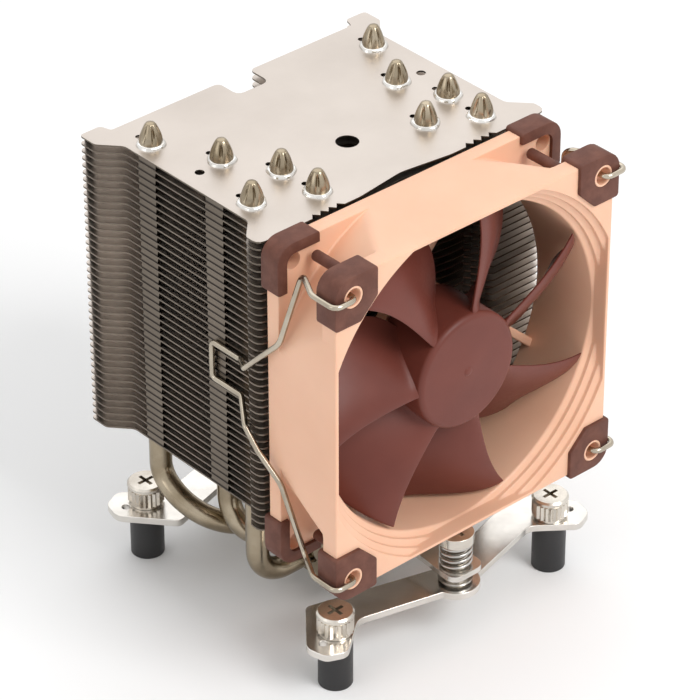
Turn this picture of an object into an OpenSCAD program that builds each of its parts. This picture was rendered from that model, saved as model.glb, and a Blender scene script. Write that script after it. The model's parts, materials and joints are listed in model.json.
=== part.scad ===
// Tower cooler for a processor: a stack of thin fins on five bent heat pipes,
// a square axial fan held by two wire clips, and a screw mounting kit.
// The origin is the middle of the mounting screw pattern, on the board's surface.
// +Z points away from the board, and the fan blows towards +Y.

/* [Fins] */
// Number of fins, counting the top one
fin_count = 42; // [30:1:44]
// Distance from one fin to the next
fin_pitch = 2.063; // [1.9:0.001:2.08]
// Thickness of a fin's sheet
fin_t = 0.45; // [0.3:0.05:0.8]
// Width of the fins across the ears
fin_w = 95; // [94:0.5:98]
// Width of the fins between the ears
fin_waist_w = 85; // [84:0.5:87]
// Depth of the fins along the airflow
fin_l = 68; // [67:0.5:74]
// Length of each ear along the airflow
ear_l = 8; // [6:0.5:9]
// Height of the lowest fin above the board
fin_floor_z = 42.4; // [41.5:0.1:45]
// Diameter of the hole down the middle of the fins
fin_hole_d = 6; // [4.5:0.1:7]
// Width of the folded tabs that space the fins
fin_tab_w = 6.5; // [4:0.5:8]

/* [Heat pipes] */
// Outside diameter of a heat pipe
pipe_d = 6; // [5:0.1:6.1]
// Distance between neighbouring pipes in the base
pipe_row_pitch = 6.4; // [6.3:0.05:6.8]
// Height of a pipe's nose above the top fin
pipe_nose_h = 6.3; // [4:0.1:8]
// Clearance of a pipe in the fins
pipe_fin_gap = 0.04; // [0.02:0.01:0.1]

/* [Base] */
// Height of the contact face above the board
contact_z = 7.9; // [7:0.1:9]
// Size of the base plate across the pipes' length
base_w = 38; // [36:0.5:42]
// Size of the base plate across the row of pipes
base_l = 37; // [36:0.5:40]
// Thickness of the base plate below the pipes
base_floor_t = 3.5; // [2.5:0.1:4]
// Width of the cover that clamps the pipes
cover_w = 22; // [18:0.5:24]
// Thickness of the cover above the pipes
cover_roof_t = 2; // [1.5:0.1:3]

/* [Mounting] */
// Side of the square of mounting screws
bolt_pitch = 75; // [74:0.5:77]
// Distance of each spring screw from the middle
spring_screw_y = 41.5; // [40.5:0.1:42.5]
// Bore of a spacer, for the board's stud
stud_hole_d = 3.6; // [3.2:0.1:4]
// Outside diameter of a spacer
spacer_d = 9; // [8:0.5:10]
// Height of a spacer
spacer_h = 13.7; // [12.5:0.1:14.5]
// Thickness of a mounting bar
bar_t = 2; // [1.5:0.1:2.5]
// Diameter of a thumb nut's head
thumb_d = 9.8; // [9:0.1:10.5]
// Height of a thumb nut above its bar
thumb_h = 6.8; // [6:0.1:9]
// Width of the bridge across the base
bridge_w = 13; // [12:0.5:18]
// Thickness of the bridge
bridge_t = 1.6; // [1.2:0.1:2]
// Diameter of the stud on a mounting bar
bar_stud_d = 4; // [3.5:0.1:4.4]
// Height of the stud above its bar
bar_stud_h = 9; // [6:0.5:10]
// Diameter of a spring screw's sleeve
sleeve_d = 6.4; // [6:0.1:6.6]
// Diameter of a spring screw's head
screw_head_d = 9.4; // [9:0.1:10.5]
// Height from the bridge to a spring screw's head
spring_h = 7; // [6:0.1:7.5]
// Diameter of a spring's wire
spring_wire_d = 0.9; // [0.6:0.1:1]
// Turns of a spring
spring_turns = 4; // [3:1:5]
// Radial clearance of turning pieces
turn_gap = 0.05; // [0.03:0.01:0.08]

/* [Fan] */
// Side of the fan's frame
fan_size = 92; // [91:0.5:92]
// Depth of the fan's frame
fan_l = 25; // [25:0.5:27]
// Thickness of the front flange
front_flange_t = 5; // [4:0.1:6]
// Thickness of the back flange
back_flange_t = 4.3; // [3.5:0.1:4.5]
// Distance between the frame's screw holes
fan_hole_pitch = 82.5; // [82:0.1:83]
// Diameter of the frame's screw holes
fan_hole_d = 4.6; // [4.5:0.1:5]
// Radius of the duct
duct_r = 44.8; // [44.6:0.1:45.2]
// Radius of the duct's mouth
mouth_r = 49.7; // [48:0.1:50]
// Distance from a screw hole's middle to the duct's wall behind the front flange
hole_wall_gap = 4.2; // [3.6:0.1:6]
// Thickness of the duct's wall at the back flange
duct_wall_t = 4.2; // [2.6:0.1:5]
// Radius of the motor's base
motor_base_r = 15; // [14.6:0.1:15.5]
// Width of a strut
strut_w = 2.4; // [1.8:0.1:3]
// Distance by which a strut passes the fan's axis
strut_offset = 13; // [10:0.5:14]

/* [Impeller] */
// Number of blades
blade_count = 7; // [5:1:8]
// Radius of the hub
hub_r = 16; // [15.8:0.1:16.5]
// Depth of the hub's face behind the frame's front
hub_recess = 2.7; // [2:0.1:3]
// Length of the hub
hub_l = 17.5; // [17:0.1:17.8]
// Radius over the blade tips
tip_r = 43.9; // [42:0.1:44.1]
// Greatest thickness of a blade along the axis
blade_t = 1.9; // [1.4:0.1:2.4]
// Thickness of the hub's wall
hub_wall = 1.6; // [1.2:0.1:1.7]
// Diameter of the shaft
shaft_d = 3; // [2.5:0.1:3.4]
// Outside diameter of the bearing sleeve
bearing_d = 7.2; // [6.4:0.1:7.6]

/* [Clips and pads] */
// Thickness of a rubber pad on a flange's face
pad_t = 1; // [0.8:0.1:1.2]
// Thickness of a pad's side walls
pad_wall = 0.9; // [0.6:0.1:1]
// Diameter of a pad's pin
pin_d = 2.9; // [2:0.1:3]
// Distance from a pad's pin to the screw hole beside it
pin_shift = 5.75; // [5.5:0.05:6.5]
// Distance by which a pad reaches inwards from its screw hole's middle
pad_reach = 7.9; // [7:0.1:8.5]
// Diameter of a clip's wire
wire_d = 1.5; // [1.2:0.1:1.6]
// Gap that a clip keeps to the pieces it passes
wire_gap = 0.3; // [0.25:0.05:0.4]
// Height of a clip's finger loop
loop_h = 10.6; // [8:0.1:12]
// Length of a clip's finger loop
loop_l = 11; // [8:0.1:12]

/* [Hidden] */
$fn = 48;
eps = 0.01;

// Levels of the fins and of the fan
fin_top_z = fin_floor_z + (fin_count - 1) * fin_pitch + fin_t;
fin_front_y = -21.5;
fin_back_y = fin_front_y + fin_l;
fan_front_y = fin_front_y - pad_t - fan_l;
fan_axis_z = fin_top_z - fan_size / 2;

// Heat pipes: where each one lies in the base and stands in the fins
pipe_r = pipe_d / 2;
pipe_z = contact_z + base_floor_t + pipe_r;
pipe_rows = [for (i = [-2 : 2]) i * pipe_row_pitch];
middle_pipe_y = 13.8;
back_pipe_y = 31.4;
pipe_top_ys = [pipe_rows[0], pipe_rows[1], pipe_rows[2], middle_pipe_y, back_pipe_y];
pipe_left_xs = [21, 36.5, 21.5, 29, 37];
pipe_right_xs = [33.5, 20.5, 34, 29, 37];
lower_bend_rs = [9, 9, 9, 9, 19.8];
bend_tilts = [0, 0, 0, atan2(3, 4), atan2(4, 3)];
cover_top_z = pipe_z + pipe_r + cover_roof_t;

// Places of the ten pipes in the fins, left ones first
pipe_places = [
    for (i = [0 : 4]) [-pipe_left_xs[i], pipe_top_ys[i]],
    for (i = [0 : 4]) [pipe_right_xs[i], pipe_top_ys[i]]
];

// Mounting levels
bar_z = spacer_h;
bar_top_z = bar_z + bar_t;
bridge_z = cover_top_z;
bridge_top_z = bridge_z + bridge_t;
bolt_places = [for (sy = [-1, 1]) for (sx = [-1, 1]) [sx, sy] * bolt_pitch / 2];
spigot_r = stud_hole_d / 2 + 0.5;
screw_head_z = bridge_top_z + spring_h;

// A polygon's points with each corner rounded: corners holds [x, y, radius]
function unit(v) = v / norm(v);
function corner_arc(a, b, c, r, steps) =
    let (u = unit(a - b), v = unit(c - b))
    let (half = acos(max(-1, min(1, u * v))) / 2)
    let (reach = r / tan(half), centre = b + unit(u + v) * r / sin(half))
    let (from = b + u * reach - centre, to = b + v * reach - centre)
    let (side = sign(from.x * to.y - from.y * to.x))
    [for (i = [0 : steps])
        let (t = side * i / steps * (180 - 2 * half))
        centre + [from.x * cos(t) - from.y * sin(t), from.x * sin(t) + from.y * cos(t)]];
// The largest fillet that takes no more than half of either side of a corner
function fillet_limit(a, b, c) =
    tan(acos(max(-1, min(1, unit(a - b) * unit(c - b)))) / 2) * min(norm(a - b), norm(c - b)) / 2;
function rounded(corners, steps = 5) =
    let (n = len(corners))
    [for (i = [0 : n - 1])
        let (p = corners[i], a = corners[(i + n - 1) % n], c = corners[(i + 1) % n])
        let (r = min(p[2], fillet_limit([a.x, a.y], [p.x, p.y], [c.x, c.y])))
        each r == 0 ? [[p.x, p.y]]
            : corner_arc([a.x, a.y], [p.x, p.y], [c.x, c.y], r, steps)];

// A solid through a row of closed rings that all have the same number of points
module loft(rings) {
    m = len(rings[0]);
    n = len(rings);
    sides = [for (i = [0 : n - 2]) for (k = [0 : m - 1])
        let (a = i * m + k, b = i * m + (k + 1) % m)
        each [[a, b + m, b], [a, a + m, b + m]]];
    ends = [for (k = [0 : m / 2 - 2])
        let (a = k, b = k + 1, c = m - 2 - k, d = m - 1 - k, e = (n - 1) * m)
        each [[a, b, c], [a, c, d], [e + a, e + c, e + b], [e + a, e + d, e + c]]];
    polyhedron(points = [for (ring = rings) each ring], faces = concat(sides, ends));
}

// Places of things that come in mirrored pairs
module both_x() {
    children();
    mirror([1, 0, 0]) children();
}
module on_fan() {
    translate([0, fan_front_y, fan_axis_z])
        rotate([-90, 0, 0])
            children();
}

// ---- Fins ----
ear_x = fin_w / 2;
waist_x = fin_waist_w / 2;
notch_w = 10.4;
notch_l = 7.7;
saw_teeth = 4;
saw_pitch = 2.6;
saw_depth = 1.5;
saw_x = 20;
front_dip = 2;
back_step = 3.3;

// Half of the outline, from the middle of the front edge round to the middle of the back
front_y = fin_front_y;
back_y = fin_back_y;
half_outline = concat(
    [[0, front_y + front_dip, 12], [15, front_y, 12]],
    [for (i = [0 : saw_teeth - 1]) each [
        [saw_x + i * saw_pitch, front_y, 0],
        [saw_x + (i + 0.5) * saw_pitch, front_y + saw_depth, 0]]],
    [[saw_x + saw_teeth * saw_pitch, front_y, 0],
     [ear_x, front_y, 3],
     [ear_x, front_y + ear_l * 0.55, 1.6],
     [waist_x, front_y + ear_l * 1.2, 2.5],
     [waist_x, back_y - ear_l * 1.45, 2.5],
     [ear_x, back_y - ear_l * 0.75, 2],
     [ear_x, back_y, 1],
     [waist_x - 1.5, back_y, 1.2],
     [waist_x - 2.5, back_y - back_step, 1],
     [notch_w / 2, back_y - back_step, 1.5],
     [notch_w / 2, back_y - back_step - notch_l, 2]]
);
fin_outline = rounded(concat(
    half_outline,
    [for (i = [len(half_outline) - 1 : -1 : 1])
        [-half_outline[i].x, half_outline[i].y, half_outline[i].z]]
), 3);

// Where the folded tabs stand along the fins' sides
first_tab = 22.2;
tab_spacing = 25.6;
tab_ys = [fin_front_y + first_tab, fin_front_y + first_tab + tab_spacing];
// How far a tab's fold stands inside its fin's edge, and the gap under the top fin
tab_inset = 0.1;
top_fin_gap = 0.02;

module fin_sheet(t) {
    linear_extrude(t) difference() {
        polygon(fin_outline);
        circle(d = fin_hole_d);
        for (p = pipe_places) translate(p) circle(r = pipe_r + pipe_fin_gap);
    }
}

// The fins are clinched into one block: the tabs folded up from each one are fast in the next
module fin_stack() {
    tab_h = (fin_count - 1) * fin_pitch - fin_t / 2 - top_fin_gap;
    color("silver") translate([0, 0, fin_floor_z]) {
        for (i = [0 : fin_count - 2]) translate([0, 0, i * fin_pitch]) fin_sheet(fin_t);
        both_x() translate([0, 0, fin_t / 2]) {
            for (y = tab_ys) translate([waist_x - tab_inset - fin_t, y - fin_tab_w / 2, 0])
                cube([fin_t, fin_tab_w, tab_h]);
            translate([waist_x + 1, fin_back_y - tab_inset - fin_t, 0])
                cube([ear_x - waist_x - 2.5, fin_t, tab_h]);
        }
    }
}

solder_ring_r = pipe_r + 0.8;
solder_ring_h = 0.8;
solder_ring_slope = 0.3;
side_hole_x = 36.7;
side_hole_y = 13;
side_hole_r = 1.25;
solder_hole_r = 0.9;

module top_fin() {
    color("gainsboro") translate([0, 0, fin_top_z - fin_t]) difference() {
        fin_sheet(fin_t);
        for (p = pipe_places)
            translate([p.x, p.y + solder_ring_r + solder_hole_r, -1]) cylinder(r = solder_hole_r, h = 4);
        both_x() translate([side_hole_x, side_hole_y, -1]) cylinder(r = side_hole_r, h = 4);
    }
}

// Solder stands in a low ring around each pipe where it leaves the top fin
module solder_rings() {
    color("silver") for (p = pipe_places) translate([p.x, p.y, fin_top_z]) difference() {
        cylinder(r1 = solder_ring_r, r2 = solder_ring_r - solder_ring_slope, h = solder_ring_h);
        translate([0, 0, -1]) cylinder(r = pipe_r + pipe_fin_gap, h = solder_ring_h + 2);
    }
}

// ---- Heat pipes ----
// The upright run starts inside its bend and is a hair thinner, so that the two join cleanly
pipe_lap = 0.3;
upright_r = pipe_r - 0.01;

// One half of a pipe, from the middle of the base out along +X and up through the fins
module pipe_half(i, top_x) {
    bend_r = lower_bend_rs[i];
    tilt = bend_tilts[i];
    shift_y = pipe_top_ys[i] - pipe_rows[i];
    // The second bend's radius brings the pipe upright at its place in the fins
    upper_bend_r = tilt > 0 ? (shift_y - bend_r * sin(tilt)) / (1 - cos(tilt)) : 0;
    straight_l = fin_top_z - pipe_z - bend_r * cos(tilt) - upper_bend_r * sin(tilt);
    translate([0, pipe_rows[i], pipe_z]) {
        rotate([0, 90, 0]) cylinder(r = pipe_r, h = top_x - bend_r);
        translate([top_x - bend_r, 0, 0]) rotate([-tilt, 0, 0]) {
            // The bend out of the base leans over by the tilt
            translate([0, 0, bend_r]) rotate([90, 0, 0]) rotate([0, 0, -90])
                rotate_extrude(angle = 90) translate([bend_r, 0]) circle(r = pipe_r);
            // A second bend turns back to upright
            translate([bend_r, -upper_bend_r, bend_r]) {
                if (tilt > 0) rotate([90, 0, 90]) rotate_extrude(angle = tilt)
                    translate([upper_bend_r, 0]) circle(r = pipe_r);
                rotate([tilt, 0, 0]) translate([0, upper_bend_r, 0]) {
                    translate([0, 0, -pipe_lap]) cylinder(r = upright_r, h = straight_l + pipe_lap);
                    translate([0, 0, straight_l]) pipe_nose();
                }
            }
        }
    }
}

// The crimped and soldered end of a pipe
module pipe_nose() {
    rotate_extrude() polygon([
        [0, 0], [upright_r, 0], [upright_r, pipe_nose_h * 0.24], [pipe_r * 0.92, pipe_nose_h * 0.4],
        [pipe_r * 0.74, pipe_nose_h * 0.68], [pipe_r * 0.52, pipe_nose_h * 0.9],
        [pipe_r * 0.36, pipe_nose_h], [0, pipe_nose_h]
    ]);
}

module heat_pipe(i) {
    color("tan") {
        pipe_half(i, pipe_right_xs[i]);
        mirror([1, 0, 0]) pipe_half(i, pipe_left_xs[i]);
    }
}

// ---- Base ----
solder_gap = 0.03;
bridge_screw_y = 9.6;
bridge_screw_r = 1.5;
bridge_screw_gap = 0.05;
bridge_screw_head_r = 2.8;
bridge_screw_head_h = 1.9;

module pipe_grooves() {
    for (y = pipe_rows) translate([-base_w, y, pipe_z]) rotate([0, 90, 0])
        cylinder(r = pipe_r + solder_gap, h = 2 * base_w);
}

module base_plate() {
    color("darkkhaki") difference() {
        translate([0, 0, contact_z])
            linear_extrude(pipe_z - contact_z) polygon(rounded([
                [-base_w / 2, -base_l / 2, 1.5], [base_w / 2, -base_l / 2, 1.5],
                [base_w / 2, base_l / 2, 1.5], [-base_w / 2, base_l / 2, 1.5]]));
        pipe_grooves();
    }
}

module base_cover() {
    color("lightgray") difference() {
        translate([0, 0, pipe_z])
            linear_extrude(cover_top_z - pipe_z) polygon(rounded([
                [-cover_w / 2, -base_l / 2, 1], [cover_w / 2, -base_l / 2, 1],
                [cover_w / 2, base_l / 2, 1], [-cover_w / 2, base_l / 2, 1]]));
        pipe_grooves();
        for (y = [-1, 1] * bridge_screw_y) translate([0, y, cover_top_z - cover_roof_t])
            cylinder(r = bridge_screw_r + bridge_screw_gap, h = cover_roof_t + 1);
    }
}

// ---- Bridge and spring screws ----
bridge_end_l = 5.5;
bridge_neck_w = 9.5;

module bridge() {
    end_y = spring_screw_y + bridge_end_l;
    shoulder_y = base_l / 2 - 2;
    color("gainsboro") translate([0, 0, bridge_z]) difference() {
        linear_extrude(bridge_t) polygon(rounded([
            [-bridge_w / 2, -shoulder_y, 1.5], [-bridge_neck_w / 2, -shoulder_y - 5, 4],
            [-bridge_neck_w / 2, -spring_screw_y + 8, 4], [-bridge_end_l, -spring_screw_y, 2],
            [-bridge_end_l, -end_y, 4], [bridge_end_l, -end_y, 4],
            [bridge_end_l, -spring_screw_y, 2], [bridge_neck_w / 2, -spring_screw_y + 8, 4],
            [bridge_neck_w / 2, -shoulder_y - 5, 4], [bridge_w / 2, -shoulder_y, 1.5],
            [bridge_w / 2, shoulder_y, 1.5], [bridge_neck_w / 2, shoulder_y + 5, 4],
            [bridge_neck_w / 2, spring_screw_y - 8, 4], [bridge_end_l, spring_screw_y, 2],
            [bridge_end_l, end_y, 4], [-bridge_end_l, end_y, 4],
            [-bridge_end_l, spring_screw_y, 2], [-bridge_neck_w / 2, spring_screw_y - 8, 4],
            [-bridge_neck_w / 2, shoulder_y + 5, 4], [-bridge_w / 2, shoulder_y, 1.5]], 3));
        for (y = [-1, 1] * spring_screw_y) translate([0, y, -1])
            cylinder(d = sleeve_d + 2 * turn_gap, h = bridge_t + 2);
        for (y = [-1, 1] * bridge_screw_y) translate([0, y, -1])
            cylinder(r = bridge_screw_r + bridge_screw_gap, h = bridge_t + 2);
    }
}

// A cross recess that opens upwards at z = 0
module cross_recess(r, depth) {
    translate([0, 0, -depth]) linear_extrude(depth + 1) {
        square([2 * r, r * 0.42], center = true);
        square([r * 0.42, 2 * r], center = true);
    }
}

module bridge_screws() {
    shank_l = bridge_t + cover_roof_t - 0.1;
    color("silver") for (y = [-1, 1] * bridge_screw_y) translate([0, y, bridge_top_z]) difference() {
        union() {
            translate([0, 0, -shank_l]) cylinder(r = bridge_screw_r, h = shank_l + eps);
            cylinder(r = bridge_screw_head_r, h = bridge_screw_head_h);
        }
        translate([0, 0, bridge_screw_head_h]) cross_recess(1.6, 1.1);
    }
}

retainer_groove_d = 5.2;
retainer_d = 9;
retainer_t = 0.6;
retainer_z = bar_top_z + 0.8;
sleeve_bottom_z = bar_top_z + 0.3;
screw_head_h = 3;

// A spring screw is a nut: its sleeve turns on a bar's stud and slides through the bridge
module spring_screw(y) {
    color("silver") translate([0, y, 0]) difference() {
        union() {
            translate([0, 0, sleeve_bottom_z])
                cylinder(d = sleeve_d, h = screw_head_z - sleeve_bottom_z + eps);
            translate([0, 0, screw_head_z]) cylinder(d = screw_head_d, h = screw_head_h);
        }
        translate([0, 0, sleeve_bottom_z - 1])
            cylinder(d = bar_stud_d + 2 * turn_gap, h = bar_top_z + bar_stud_h + 0.5 - sleeve_bottom_z + 1);
        translate([0, 0, retainer_z]) difference() {
            cylinder(d = sleeve_d + 1, h = retainer_t);
            translate([0, 0, -1]) cylinder(d = retainer_groove_d, h = retainer_t + 2);
        }
        translate([0, 0, screw_head_z + screw_head_h]) cross_recess(2.6, 2);
    }
}

// The split ring in a sleeve's groove that keeps the screw on the bridge
module retainer(y) {
    retainer_play = 0.06;
    color("dimgray") translate([0, y, retainer_z + retainer_play / 2]) difference() {
        cylinder(d = retainer_d, h = retainer_t - retainer_play);
        translate([0, 0, -1]) cylinder(d = retainer_groove_d + 2 * turn_gap, h = 3);
    }
}

module spring(y) {
    mean_r = (sleeve_d + spring_wire_d) / 2 + 0.3;
    rise = spring_h - spring_wire_d - 0.1;
    steps = 14;
    route = [for (i = [0 : spring_turns * steps])
        [mean_r * cos(360 * i / steps), mean_r * sin(360 * i / steps), rise * i / steps / spring_turns]];
    color("darkgray") translate([0, y, bridge_top_z + spring_wire_d / 2 + 0.05])
        wire(route, spring_wire_d / 2, 8);
}

// ---- Mounting bars, spacers and thumb nuts ----
bar_half_w = 5;
bar_boss_r = 6.5;
spare_hole_r = 1.1;

module bar_half_outline() {
    c = bolt_pitch / 2;
    mid_y = spring_screw_y - 1.1;
    polygon(rounded([
        [-1, mid_y - bar_half_w, 0], [c - 1.1, c - 12.7, 2], [c + 10, c + 0.2, 4],
        [c + 8.6, c + 6, 3], [c + 3.2, c + 8.4, 3], [c - 7.5, c, 4],
        [c - 17, mid_y - 0.5, 6], [-1, mid_y + bar_half_w, 0]]));
}

module bar() {
    c = bolt_pitch / 2;
    color("gainsboro") translate([0, 0, bar_z]) {
        difference() {
            linear_extrude(bar_t) union() {
                both_x() bar_half_outline();
                translate([0, spring_screw_y]) circle(r = bar_boss_r);
            }
            both_x() translate([c, c, -1]) cylinder(r = spigot_r + turn_gap, h = bar_t + 2);
            both_x() translate([c + 5.6, c + 1.6, -1]) cylinder(r = spare_hole_r, h = bar_t + 2);
        }
        translate([0, spring_screw_y, 0]) cylinder(d = bar_stud_d, h = bar_t + bar_stud_h);
    }
}

spigot_l = 1;

module spacers() {
    color("dimgray") for (p = bolt_places) translate([p.x, p.y, 0]) difference() {
        cylinder(d = spacer_d, h = spacer_h);
        translate([0, 0, -1]) cylinder(d = stud_hole_d, h = spacer_h + 2);
        translate([0, 0, spacer_h - spigot_l - 0.2]) cylinder(r = spigot_r + turn_gap, h = spigot_l + 1);
    }
}

thumb_flutes = 22;
thumb_seat_gap = 0.1;
thumb_bore_d = 3;

// A thumb nut: a fluted head on a spigot that turns in the bar
module thumb_nut(i) {
    r = thumb_d / 2;
    head_z = bar_top_z + thumb_seat_gap;
    head_h = thumb_h - thumb_seat_gap;
    rim_h = 1.6;
    color("silver") translate([bolt_places[i].x, bolt_places[i].y, 0]) difference() {
        union() {
            translate([0, 0, head_z]) cylinder(r = r - 0.6, h = head_h - rim_h);
            translate([0, 0, head_z + 0.8]) linear_extrude(head_h - rim_h - 1) polygon([
                for (k = [0 : 2 * thumb_flutes - 1])
                    (r - 0.1 - 0.5 * (k % 2)) * [cos(180 * k / thumb_flutes), sin(180 * k / thumb_flutes)]]);
            translate([0, 0, head_z + head_h - rim_h]) rotate_extrude() polygon([
                [0, 0], [r - 0.6, 0], [r, 0.4], [r, rim_h - 0.5], [r - 0.5, rim_h], [0, rim_h]]);
            translate([0, 0, bar_z - spigot_l]) cylinder(r = spigot_r, h = bar_t + spigot_l + thumb_seat_gap + eps);
        }
        translate([0, 0, bar_z - spigot_l - 1]) cylinder(d = thumb_bore_d, h = bar_t + spigot_l + 1 + thumb_h * 0.5);
        translate([0, 0, head_z + head_h]) cross_recess(2.4, 1.8);
    }
}

// ---- Fan frame ----
// Radii of the duct's wall, which is flared towards the front and passes inside the screw holes
wall_front_r = fan_hole_pitch / sqrt(2) - hole_wall_gap;
wall_back_r = duct_r + duct_wall_t;
pin_r = pin_d / 2;
pin_x = fan_hole_pitch / 2 - pin_shift;
pin_gap = 0.3;
boss_gap = 0.03;
flange_corner_r = 4;
rim = 1;
step_l = 1.7;
boss_r = 3;
motor_base_t = 3.2;
motor_base_z = fan_l - 0.3 - motor_base_t;
bearing_tube_r = bearing_d / 2 + 1.2;
bearing_tube_top = 8;
floor_t = 1;

module flange_outline() {
    h = fan_size / 2;
    polygon(rounded([[-h, -h, flange_corner_r], [h, -h, flange_corner_r],
        [h, h, flange_corner_r], [-h, h, flange_corner_r]]));
}

// The stepped mouth of the duct, a round shape that the frame's thin sides cut flat
module mouth() {
    fall = (mouth_r - duct_r) / 3;
    flat = fan_size - 2 * rim;
    intersection() {
        rotate_extrude() polygon([
            [0, -1], [mouth_r, -1], [mouth_r, step_l * 0.6],
            [mouth_r - fall, step_l], [mouth_r - fall, step_l * 1.6],
            [mouth_r - 2 * fall, step_l * 2], [mouth_r - 2 * fall, step_l * 2.6],
            [duct_r, step_l * 3], [0, step_l * 3]]);
        translate([-flat / 2, -flat / 2, -2]) cube([flat, flat, step_l * 4]);
    }
}

strut_turn = 42;

module strut(i) {
    reach = sqrt(pow(duct_r + 0.6, 2) - pow(strut_offset, 2));
    rotate([0, 0, 90 * i + strut_turn]) translate([0, -strut_offset - strut_w / 2, motor_base_z + 0.4])
        cube([reach, strut_w, motor_base_t - 0.8]);
}

module fan_frame() {
    h = fan_size / 2;
    hole = fan_hole_pitch / 2;
    color("bisque") on_fan() {
        difference() {
            union() {
                linear_extrude(front_flange_t) flange_outline();
                translate([0, 0, fan_l - back_flange_t]) linear_extrude(back_flange_t) flange_outline();
                intersection() {
                    translate([0, 0, front_flange_t]) cylinder(
                        r1 = wall_front_r, r2 = wall_back_r, h = fan_l - front_flange_t - back_flange_t, $fn = 96);
                    translate([-h, -h, 0]) cube([fan_size, fan_size, fan_l]);
                }
                for (sx = [-1, 1]) for (sy = [-1, 1]) translate([sx * hole, sy * hole, -pad_t])
                    cylinder(r = boss_r, h = pad_t + eps);
            }
            translate([0, 0, -1]) cylinder(r = duct_r, h = fan_l + 2, $fn = 96);
            mouth($fn = 96);
            for (sx = [-1, 1]) for (sy = [-1, 1]) translate([sx * hole, sy * hole, -pad_t - 1])
                cylinder(d = fan_hole_d, h = fan_l + pad_t + 2);
            // Room for the pads' pins beside the flared wall
            for (sx = [-1, 1]) for (sy = [-1, 1])
                translate([sx * pin_x, sy * hole, front_flange_t])
                    cylinder(r = pin_r + pin_gap, h = fan_l - front_flange_t - back_flange_t);
        }
        difference() {
            union() {
                translate([0, 0, motor_base_z]) cylinder(r = motor_base_r, h = motor_base_t);
                for (i = [0 : 3]) strut(i);
                translate([0, 0, bearing_tube_top])
                    cylinder(r = bearing_tube_r, h = motor_base_z - bearing_tube_top + eps);
            }
            translate([0, 0, bearing_tube_top - 1])
                cylinder(d = bearing_d, h = fan_l - 0.3 - floor_t - bearing_tube_top + 1);
        }
    }
}

// ---- Impeller ----
blade_sections = 9;
blade_steps = 9;
blade_phase = 288;

// A blade's leading edge, its chord and its depth at share u of the way from hub to tip
function lead_angle(u) = 2 * u - 10 * u * (1 - u);
function chord_angle(u) = 50 - 21 * pow(u, 1.5);
function lead_depth(u) = 4.2 + 0.5 * u;
function trail_depth(u) = 17.2 + 1.8 * u;
function camber(s) = 0.35 * s + 0.65 * (1 - cos(180 * s)) / 2;
function blade_half_t(s) = 0.22 + (blade_t / 2 - 0.22) * pow(sin(180 * s), 0.6);

function blade_point(r, s, side) =
    let (u = (r - hub_r) / (tip_r - hub_r))
    let (a = blade_phase + lead_angle(max(u, 0)) - chord_angle(max(u, 0)) * s)
    let (d = lead_depth(u) + (trail_depth(u) - lead_depth(u)) * camber(s))
    [r * cos(a), -r * sin(a), d + side * blade_half_t(s)];

module blade() {
    root_r = hub_r - hub_wall / 2;
    loft([for (i = [0 : blade_sections - 1])
        let (r = root_r + (tip_r - root_r) * i / (blade_sections - 1))
        concat(
            [for (j = [0 : blade_steps]) blade_point(r, j / blade_steps, -1)],
            [for (j = [blade_steps : -1 : 0]) blade_point(r, j / blade_steps, 1)])]);
}

hub_edge_r = 1.6;
shaft_boss_r = 4;
shaft_boss_l = 3.4;
nub_r = 1.2;
nub_h = 0.4;

module impeller() {
    inner_r = hub_r - hub_wall;
    color("saddlebrown") on_fan() {
        translate([0, 0, hub_recess]) rotate_extrude($fn = 96) polygon(concat(
            [[0, -nub_h], [nub_r * 0.7, -nub_h], [nub_r, 0]],
            [for (a = [0 : 15 : 90]) [hub_r - hub_edge_r * (1 - sin(a)), hub_edge_r * (1 - cos(a))]],
            [[hub_r, hub_l], [inner_r, hub_l], [inner_r, hub_wall], [shaft_boss_r, hub_wall],
             [shaft_boss_r, hub_wall + shaft_boss_l], [shaft_d / 2, hub_wall + shaft_boss_l],
             [shaft_d / 2, hub_wall], [0, hub_wall]]));
        for (i = [0 : blade_count - 1]) rotate([0, 0, 360 / blade_count * i]) blade();
    }
}

// ---- Motor ----
yoke_t = 0.8;
magnet_t = 1.6;
air_gap = 0.6;
yoke_r = hub_r - hub_wall;
magnet_r = yoke_r - yoke_t;
core_r = magnet_r - magnet_t - air_gap;
core_z = 9.5;
core_h = 7;
pole_count = 4;
pole_neck_w = 3;
pole_shoe_t = 1.6;
coil_t = 1.5;
hub_inner_z = hub_recess + hub_wall;

module rotor_yoke() {
    color("gray") on_fan() translate([0, 0, hub_inner_z]) difference() {
        cylinder(r = yoke_r, h = hub_l - hub_wall - 1.7);
        translate([0, 0, yoke_t]) cylinder(r = magnet_r, h = hub_l);
        translate([0, 0, -1]) cylinder(r = shaft_boss_r, h = 3);
    }
}

module magnet_ring() {
    color("dimgray") on_fan() translate([0, 0, hub_inner_z + yoke_t]) difference() {
        cylinder(r = magnet_r, h = hub_l - hub_wall - yoke_t - 3);
        translate([0, 0, -1]) cylinder(r = magnet_r - magnet_t, h = hub_l);
    }
}

shaft_end_z = fan_l - 0.3 - floor_t - 0.4;
ring_z = shaft_end_z - 1.6;
ring_t = 0.5;

module fan_shaft() {
    color("silver") on_fan() translate([0, 0, hub_inner_z])
        cylinder(d = shaft_d, h = shaft_end_z - hub_inner_z);
}

module shaft_ring() {
    color("dimgray") on_fan() translate([0, 0, ring_z]) difference() {
        cylinder(r = bearing_d / 2 - 0.5, h = ring_t);
        translate([0, 0, -1]) cylinder(d = shaft_d, h = 3);
    }
}

module bearing() {
    color("goldenrod") on_fan() translate([0, 0, bearing_tube_top]) difference() {
        cylinder(d = bearing_d, h = ring_z - bearing_tube_top - 0.4);
        translate([0, 0, -1]) cylinder(d = shaft_d + 2 * turn_gap, h = fan_l);
    }
}

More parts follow.
